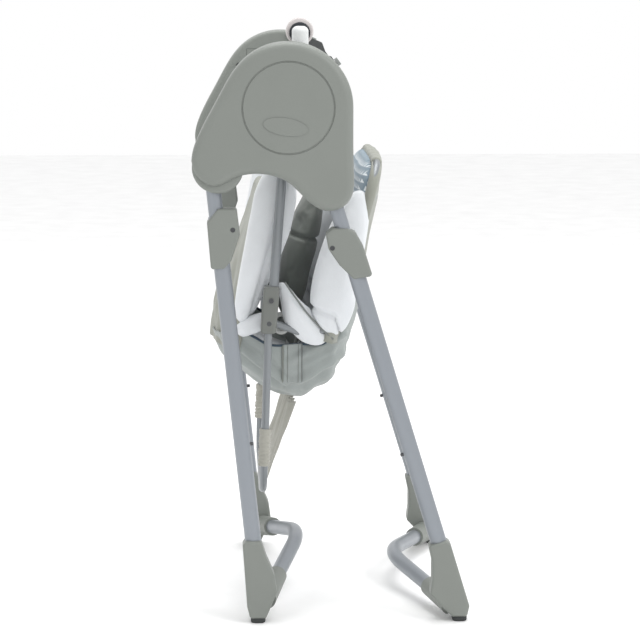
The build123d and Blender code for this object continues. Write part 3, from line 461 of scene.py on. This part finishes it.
def hoop_cover(name, hoop, hoop_y, bulge, face, look, seed):
    """Cloth round a hoop: the face swells outwards between the hoop's two sides by bulge at each
    height, and its edges turn round the tube; near the top it narrows with the hoop's corners
    and rolls over the top bar. face is -1 for a cover on the low X side, 1 on the high X side."""
    rows, cols = 70, 96
    line = curve_through(hoop, rows - ROLL_ROWS)
    t = tangents(line)
    out = np.stack([t[:, 1], -t[:, 0]], 1) * face
    side = line + out * HOOP_WRAP
    roll = np.linspace(0, math.radians(200), ROLL_ROWS + 1)[1:]
    over = (line[-1] + HOOP_WRAP * (np.cos(roll)[:, None] * out[-1]
                                    + np.sin(roll)[:, None] * t[-1]))
    path = np.vstack([side, over])
    out = np.vstack([out, np.cos(roll)[:, None] * out[-1] + np.sin(roll)[:, None] * t[-1]])
    below = np.concatenate([np.linalg.norm(line[-1] - line, axis=1), np.zeros(ROLL_ROWS)])
    corner = np.clip(HOOP_CORNER - below, 0, HOOP_CORNER)
    half = hoop_y - HOOP_CORNER + np.sqrt(HOOP_CORNER ** 2 - corner ** 2)
    swell = np.interp(np.linspace(0, 1, rows - ROLL_ROWS), np.linspace(0, 1, len(bulge)), bulge)
    swell = np.concatenate([swell, swell[-1] * np.cos(roll).clip(0)])
    v = np.linspace(-1, 1, cols)[None, :]
    flat = np.clip(np.abs(v) / HOOP_FACE_SHARE, 0, 1)
    wrap = np.clip((np.abs(v) - HOOP_FACE_SHARE) / (1 - HOOP_FACE_SHARE), 0, 1) * math.pi
    crown = (1 - flat ** 2.4)
    lift = swell[:, None] * crown + HOOP_WRAP * (np.cos(wrap) - 1)
    u = np.linspace(0, 1, rows)[:, None]
    lift = lift + folds(u, v, seed, 9.0) * crown ** 0.5 * np.clip(1.3 - u, 0.15, 1)
    grid = np.empty((rows, cols, 3))
    grid[..., 0] = path[:, :1] + out[:, :1] * lift
    grid[..., 2] = path[:, 1:] + out[:, 1:] * lift
    grid[..., 1] = np.sign(v) * (flat * half[:, None] + HOOP_WRAP * 0.85 * np.sin(wrap))
    return skin(name, grid, look, gauge=CLOTH_GAUGE, flip=face < 0), grid


front_cover, front_grid = hoop_cover(
    "front_cover", FOOT_HOOP_LINE, FOOT_HOOP_Y, [32, 34, 28, 20, 8, 1], -1, WALL_CLOTH, 3)
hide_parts("foot_panel")
back_cover, back_grid = hoop_cover(
    "back_cover", HEAD_HOOP_LINE, HEAD_HOOP_Y, [35, 32, 27, 19, 15, 4], 1, WALL_CLOTH, 8)


# ---------------------------------------------------------------- the seat pouch

POUCH_RIM = [(-155, 477), (-126, 460), (-98, 446), (-55, 445), (-9, 446), (14, 480), (26, 520),
             (38, 562)]
POUCH_BED = [(-196, 458), (-184, 418), (-146, 383), (-101, 351), (-59, 336), (-28, 345),
             (7, 373), (33, 432), (48, 498), (62, 560)]


# folds in the side walls: start and end as (X, Z), and depth
CREASES = [((-152, 444), (-74, 376), 7), ((-150, 414), (-86, 366), 4.5),
           ((-62, 418), (24, 462), 4), ((-52, 378), (24, 424), 5), ((-40, 360), (8, 384), 3.5)]


def pouch_grid(rows=110, cols=120):
    """A sagging tub: each section across the seat runs from one rim down to the bed and up to
    the other rim, rounded where wall and bed meet. Ripples gather towards its lowest point."""
    rim, bed = curve_through(POUCH_RIM, rows), curve_through(POUCH_BED, rows)
    turn = np.linspace(-math.pi / 2, math.pi / 2, cols)
    drop = np.cos(turn)[None, :] ** 0.85
    across = np.sign(turn) * np.abs(np.sin(turn)) ** 0.8
    u = np.linspace(0, 1, rows)[:, None]
    half = POUCH_Y - 26 * np.exp(-((u - 0.5) / 0.2) ** 2) * (1 - drop * 0.2)
    grid = np.empty((rows, cols, 3))
    grid[..., 0] = rim[:, :1] + (bed[:, :1] - rim[:, :1]) * drop
    grid[..., 2] = rim[:, 1:] + (bed[:, 1:] - rim[:, 1:]) * drop
    grid[..., 1] = half * across[None, :]
    ripple = folds(u, across[None, :], 21, 8.0) * (0.25 + 0.75 * drop)
    ripple += 2.4 * np.sin(u * 58 + 4 * drop) * np.exp(-((u - 0.52) / 0.16) ** 2) * drop
    for start, end, deep in CREASES:
        start, way = np.array(start, float), np.subtract(end, start)
        from_start = grid[..., ::2] - start
        share = np.clip((from_start @ way) / (way @ way), 0, 1)
        off = np.linalg.norm(from_start - share[..., None] * way, axis=2)
        ripple -= deep * np.exp(-(off / 6) ** 2) * (1 - drop ** 8)
        ripple += 0.6 * deep * np.exp(-((off - 11) / 7) ** 2) * (1 - drop ** 8)
    return grid + normals(grid) * ripple[..., None]


tub = pouch_grid()
pouch = skin("seat_pouch", tub, POUCH_CLOTH, gauge=CLOTH_GAUGE)
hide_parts("seat_bottom")
rides = {"swing": [pouch], "seat_back": [], "seat_front": []}



def on_wall(x, z, sign, proud):
    """Points on the pouch's side wall at given X and Z, proud of it: Y is the mean of the wall's
    nearest points, weighted by their nearness."""
    half = tub[:, :50] if sign < 0 else tub[:, -50:]
    known = half.reshape(-1, 3)
    far = ((x.reshape(-1, 1) - known[:, 0]) ** 2 + (z.reshape(-1, 1) - known[:, 2]) ** 2)
    near = np.argsort(far, axis=1)[:, :8]
    weight = 1 / (np.take_along_axis(far, near, 1) + 4)
    y = (known[near, 1] * weight).sum(1) / weight.sum(1)
    return np.stack([x, y.reshape(x.shape) + sign * proud, z], -1)


BINDING_X, BINDING_Z = (-78, -47), (374, 446)
for side, sign, column in (("near", -1, 0), ("far", 1, -1)):
    rides["swing"].append(cord_along(f"{side}_rim_piping", tub[:, column], PIPING_R, NAVY_CORD))
    x, z = np.meshgrid(np.linspace(*BINDING_X, 14), np.linspace(*BINDING_Z, 40), indexing="ij")
    band = on_wall(x, z, sign, 2.6)
    rides["swing"].append(skin(f"{side}_binding", band, POUCH_CLOTH, gauge=1.2, flip=sign < 0))
    z = np.linspace(BINDING_Z[0] + 2, BINDING_Z[1] - 1, 40)
    for number, (at, thick, cord) in enumerate(((-79, 1.6, DARK_GREY_CLOTH), (-71, 0.7, GREY_CORD),
                                                (-53, 0.7, GREY_CORD), (-47, 1.1, GREY_CORD))):
        stitch = on_wall(np.full(40, float(at)), z, sign, 3.4)
        rides["swing"].append(cord_along(f"{side}_binding_seam_{number}", stitch, thick, cord, 6))


# ---------------------------------------------------------------- padding

seat_pad = inflate(cushion("seat_pad", [(-146, 464), (-114, 420), (-66, 396), (-16, 412),
                                        (14, 456)], [8, 9, 10, 9, 8], [104, 108, 108, 108, 104],
                           0, WHITE_PLUSH), 6)
seamed(seat_pad, lambda at: np.abs(at[:, 1]) - 62)
back_plush = inflate(cushion("back_plush", [(12, 478), (32, 560), (50, 640), (62, 684)],
                             [8, 9, 9, 8], [132, 146, 150, 146], 0, WHITE_PLUSH), 6)
seamed(back_plush, lambda at: at[:, 2] - 600)
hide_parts("back_pad")
head_print = inflate(cushion("head_print_pad", [(57, 664), (62, 700), (67, 734), (66, 754)],
                             [12, 17, 16, 8], [206, 205, 188, 142], 0, HEAD_PRINT, 0.6), 4)
front_plush = inflate(cushion("front_plush", [(-150, 474), (-140, 530), (-122, 600),
                                              (-104, 672)], [9, 12, 12, 8],
                              [150, 166, 166, 150], 0, WHITE_PLUSH), 6)
seamed(front_plush, lambda at: at[:, 2] - 585)
pillow = inflate(cushion("pillow", [(20, 640), (30, 680), (40, 722)], [11, 14, 11],
                         [80, 92, 80], 0, WHITE_PLUSH, 0.8), 6)
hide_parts("head_pillow")
# Shade panel: a darker grey cushion in the far half of the seat, set where the inside of the far wall
# lies in shade; its dark colour is painted shade.
painted_shade_panel = inflate(cushion("painted_shade_panel", [(-58, 462), (-56, 530), (-42, 590), (-24, 650),
                                          (-12, 700)], [14, 22, 24, 20, 12],
                            [52, 66, 70, 66, 50], 60, DARK_GREY_CLOTH, 0.8), 5)
seamed(painted_shade_panel, lambda at: at[:, 2] - 594 + 0.25 * at[:, 0], 4, 7)
rides["swing"] += [seat_pad, painted_shade_panel]
rides["seat_back"] += [back_plush, head_print, pillow]
rides["seat_front"] += [front_plush]


def wing_crease(at):
    """Distance from the fold that runs up and back across a wing from its front lower edge."""
    return (at[:, 2] - 512) + 0.34 * (at[:, 0] + 40) + np.maximum(0, at[:, 0] - 6) * 3


for side, sign in (("near", -1), ("far", 1)):
    wing = inflate(cushion(f"{side}_wing", [(52, 704), (34, 650), (19, 600), (8, 560), (3, 521),
                                            (4, 462)], [17, 28, 34, 35, 38, 27],
                           [22, 28, 30, 30, 30, 26], sign * 186, WHITE_PLUSH, 0.55), 5)
    seamed(wing, wing_crease, 5, 6)
    front_wing = inflate(cushion(f"{side}_front_wing", [(-80, 746), (-91, 690), (-99, 650),
                                                        (-113, 600), (-132, 540), (-150, 478)],
                                 [30, 36, 35, 29, 22, 17], [20, 24, 25, 25, 25, 22], sign * 176,
                                 WHITE_PLUSH, 0.8), 5)
    seamed(front_wing, lambda at: (at[:, 0] + 104) - 0.26 * (at[:, 2] - 600), 3.5, 4)
    roll = inflate(cushion(f"{side}_roll", [(-84, 552), (-72, 528), (-56, 496), (-34, 470),
                                            (-8, 452)], [9, 14, 25, 23, 15],
                           [13, 17, 20, 20, 17], sign * 188, WHITE_PLUSH, 0.95), 4)
    rides["seat_back"].append(wing)
    rides["seat_front"].append(front_wing)
    rides["swing"].append(roll)
    line = curve_through([(-76, 553), (-60, 530), (-38, 500), (-14, 474), (4, 458)], 40)
    welt = np.stack([line[:, 0], np.full(40, sign * 203.0), line[:, 1]], 1)
    rides["swing"].append(cord_along(f"{side}_roll_piping", welt, 1.6, GREY_CORD))

for side, sign in (("near", -1), ("far", 1)):
    tuck = inflate(cushion(f"{side}_hip_tuck", [(-100, 492), (-126, 482), (-156, 468)],
                           [13, 16, 13], [13, 16, 14], sign * 186, WHITE_PLUSH, 0.9), 3)
    rides["seat_front"].append(tuck)

bead = np.linspace(-196, 196, 60)
arch = 44 - 6 * (bead / 196) ** 2
rides["seat_back"].append(cord_along("head_piping", np.stack(
    [arch, bead, 668 + 4 * (bead / 196) ** 2], 1), PIPING_R, TEAL_CORD))


# ---------------------------------------------------------------- calf cloth and sleeves

def calf_cloth():
    """A sheet drawn from the lowest fold of the pouch down to the crossbar, pinched at its top,
    with vertical pleats that fade towards the bar."""
    rows, cols = 60, 110
    s = np.linspace(0, 1, rows)[:, None]
    v = np.linspace(-1, 1, cols)[None, :]
    line = curve_through([(-62, 338), (-78, 290), (-96, 240), (-108, 208)], rows)
    pleat = 6.5 * np.sin(v * 24 + 2 * s) * (1 - 0.75 * s) + folds(s, v, 5, 7.0)
    grid = np.empty((rows, cols, 3))
    grid[..., 0] = line[:, :1] + pleat * 0.8
    grid[..., 2] = line[:, 1:] + pleat * 0.25
    grid[..., 1] = v * (128 + 26 * s)
    return grid


calf = calf_cloth()
calf_sheet = skin("calf_cloth", calf, BEIGE_CLOTH, gauge=1.0)
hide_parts("calf_panel")
rides["swing"].append(calf_sheet)


def flat_size(grid):
    """The size that a gathered sheet was cut to: its mean lengths across and along, in metres."""
    g = grid * MM
    wide = np.linalg.norm(np.diff(g, axis=1), axis=2).sum(1).mean()
    long = np.linalg.norm(np.diff(g, axis=0), axis=2).sum(0).mean()
    return float(wide), float(long)


flat_size(calf)
flat_size(front_grid)
flat_size(back_grid)

for side, sign in (("near", -1), ("far", 1)):
    ring = np.linspace(0, 1, 70)
    x = np.interp(ring, [0, 1], [-109, -112])
    z = 311 - 62 * ring
    tube = np.stack([x, np.full(70, sign * 216.0), z], 1)
    rough = 9.5 + 0.9 * np.sin(ring * 60) * ring + 0.5 * np.sin(ring * 23)
    sleeve = cord_along(f"{side}_sleeve", tube, rough, BEIGE_CLOTH, 24)
    rides["swing"].append(sleeve)


# ---------------------------------------------------------------- toy arm head

def turned(name, profile, x, z, look):
    """A form turned about a line along Y: radius r at each y, as (y, r) pairs, closed at its ends."""
    y, radius = curve_through(profile, 40).T
    turn = np.linspace(0, 2 * math.pi, 72, endpoint=False)
    grid = np.stack([x + radius[:, None] * np.cos(turn), np.repeat(y[:, None], 72, 1),
                     z + radius[:, None] * np.sin(turn)], 2)
    return skin(name, grid, look, closed=True, poles=True, flip=True)


POST_X, HEAD_Z = -51, 963.5
toy_head = turned("toy_head", [(-205, 18.5), (-204.6, 21.4), (-201, 22.4), (-190, 22.4),
                               (-176, 19.5), (-168, 11), (-166, 2)], POST_X, HEAD_Z,
                  SLOT_LOOKS["cap_grey"])
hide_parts("toy_cap")
# The ring on the head's near end face is a dark rubber band; its near-black colour also stands in for
# that end face's shade, so it is partly painted shade.
head_band = turned("toy_head_band", [(-209.8, 14), (-209.4, 16.4), (-207, 17), (-203, 17),
                                     (-202, 15)], POST_X, HEAD_Z - 2, SLOT_LOOKS["band_rubber"])
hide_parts("toy_band")
rides["toy_arm"] = [toy_head, head_band]


# ---------------------------------------------------------------- harness

def strap(name, line, width, side, look):
    """Flat webbing: a rounded oblong section carried along a line, its width along side."""
    line = np.asarray(line, float)
    t = tangents(line)
    side = np.broadcast_to(np.array(side, float), t.shape)
    side = side - (side * t).sum(1, keepdims=True) * t
    side /= np.linalg.norm(side, axis=1, keepdims=True)
    up = np.cross(t, side)
    turn = np.linspace(0, 2 * math.pi, 20, endpoint=False)
    wide = np.sign(np.cos(turn)) * np.abs(np.cos(turn)) ** 0.3 * width / 2
    grid = (line[:, None] + wide[None, :, None] * side[:, None]
            + 1.1 * np.sin(turn)[None, :, None] * up[:, None])
    return skin(name, grid, look, closed=True, poles=True)


STRAP_ROWS = 50

for side, sign in (("near", -1), ("far", 1)):
    waist = curve_through([(-82, sign * 170, 482), (-74, sign * 150, 470),
                           (-60, sign * 100, 440), (-62, sign * 30, 420)], STRAP_ROWS)
    shoulder = curve_through([(46, sign * 42, 640), (22, sign * 42, 560),
                              (-10, sign * 38, 470), (-52, sign * 16, 420)], STRAP_ROWS)
    ring_at = np.array((-82, sign * 181.0, 482))
    turn = np.linspace(0, 2 * math.pi, 49)
    ring = np.stack([ring_at[0] + 12 * np.cos(turn), np.full(49, ring_at[1]),
                     ring_at[2] + 15 * np.sin(turn)], 1)
    rides["swing"] += [strap(f"{side}_waist_strap", waist, WEB_WIDTH, (0.2, 0, 1), WEBBING),
                       strap(f"{side}_shoulder_strap", shoulder, WEB_WIDTH, (0, 1, 0), WEBBING),
                       cord_along(f"{side}_strap_adjuster", ring, 4.2, BUCKLE_PLASTIC, 12)]
crotch = curve_through([(-60, 0, 384), (-74, 0, 402), (-62, 0, 424)], STRAP_ROWS)
buckle = cushion("buckle", [(-66, 404), (-60, 424), (-54, 444)], [7, 9, 7], [18, 22, 18], 0,
                 BUCKLE_PLASTIC, 0.5, 30, 40)
rides["swing"] += [strap("crotch_strap", crotch, WEB_WIDTH, (0, 1, 0), WEBBING), buckle]

for body, soft in rides.items():
    for piece in soft:
        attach(piece, body)
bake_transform(front_cover)
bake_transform(back_cover)


# ---------------------------------------------------------------- floor, light, camera

def studio():
    """A pale floor with a fine tooth, three soft lights and an even sky."""
    size = 9000
    ends = np.linspace(-size, size, 3)
    x, y = np.meshgrid(ends, ends, indexing="ij")
    floor = skin("floor", np.stack([x, y, np.zeros_like(x)], 2),
                 moulded("floor_paint", tint(254, 254, 254), 0.8, 900.0, 0.00002))
    world = bpy.data.worlds.new("studio_sky")
    world.use_nodes = True
    sky = world.node_tree.nodes["Background"]
    sky.inputs[0].default_value, sky.inputs[1].default_value = (1, 1, 1, 1), 1.0
    bpy.context.scene.world = world
    bpy.context.scene.view_settings.view_transform = "Standard"
    for name, at, aim, size, watts in (
            ("key", (2.6, -2.4, 3.0), (0, 0, 0.5), 1.6, 50),
            ("fill", (-3.0, -2.6, 1.6), (0, 0, 0.5), 2.4, 10),
            ("top", (0.2, 0.6, 3.6), (0, 0, 0.4), 2.6, 70)):
        lamp = bpy.data.lights.new(name, "AREA")
        lamp.size, lamp.energy = size, watts
        held = bpy.data.objects.new(name, lamp)
        bpy.context.scene.collection.objects.link(held)
        held.location = at
        back = np.array(at) - np.array(aim)
        held.rotation_euler = (math.atan2(math.hypot(back[0], back[1]), back[2]), 0,
                               math.atan2(back[0], -back[1]))


def camera():
    """Side on to the swing, a little above it."""
    lens = bpy.data.cameras.new("camera")
    lens.lens, lens.sensor_width = 144.1, 36
    view = bpy.data.objects.new("camera", lens)
    bpy.context.scene.collection.objects.link(view)
    view.location = (-0.17456, -4.37968, 1.11013)
    view.rotation_euler = (math.radians(90 - 8.4367), 0, math.radians(-2.1448))
    bpy.context.scene.camera = view


studio()
camera()
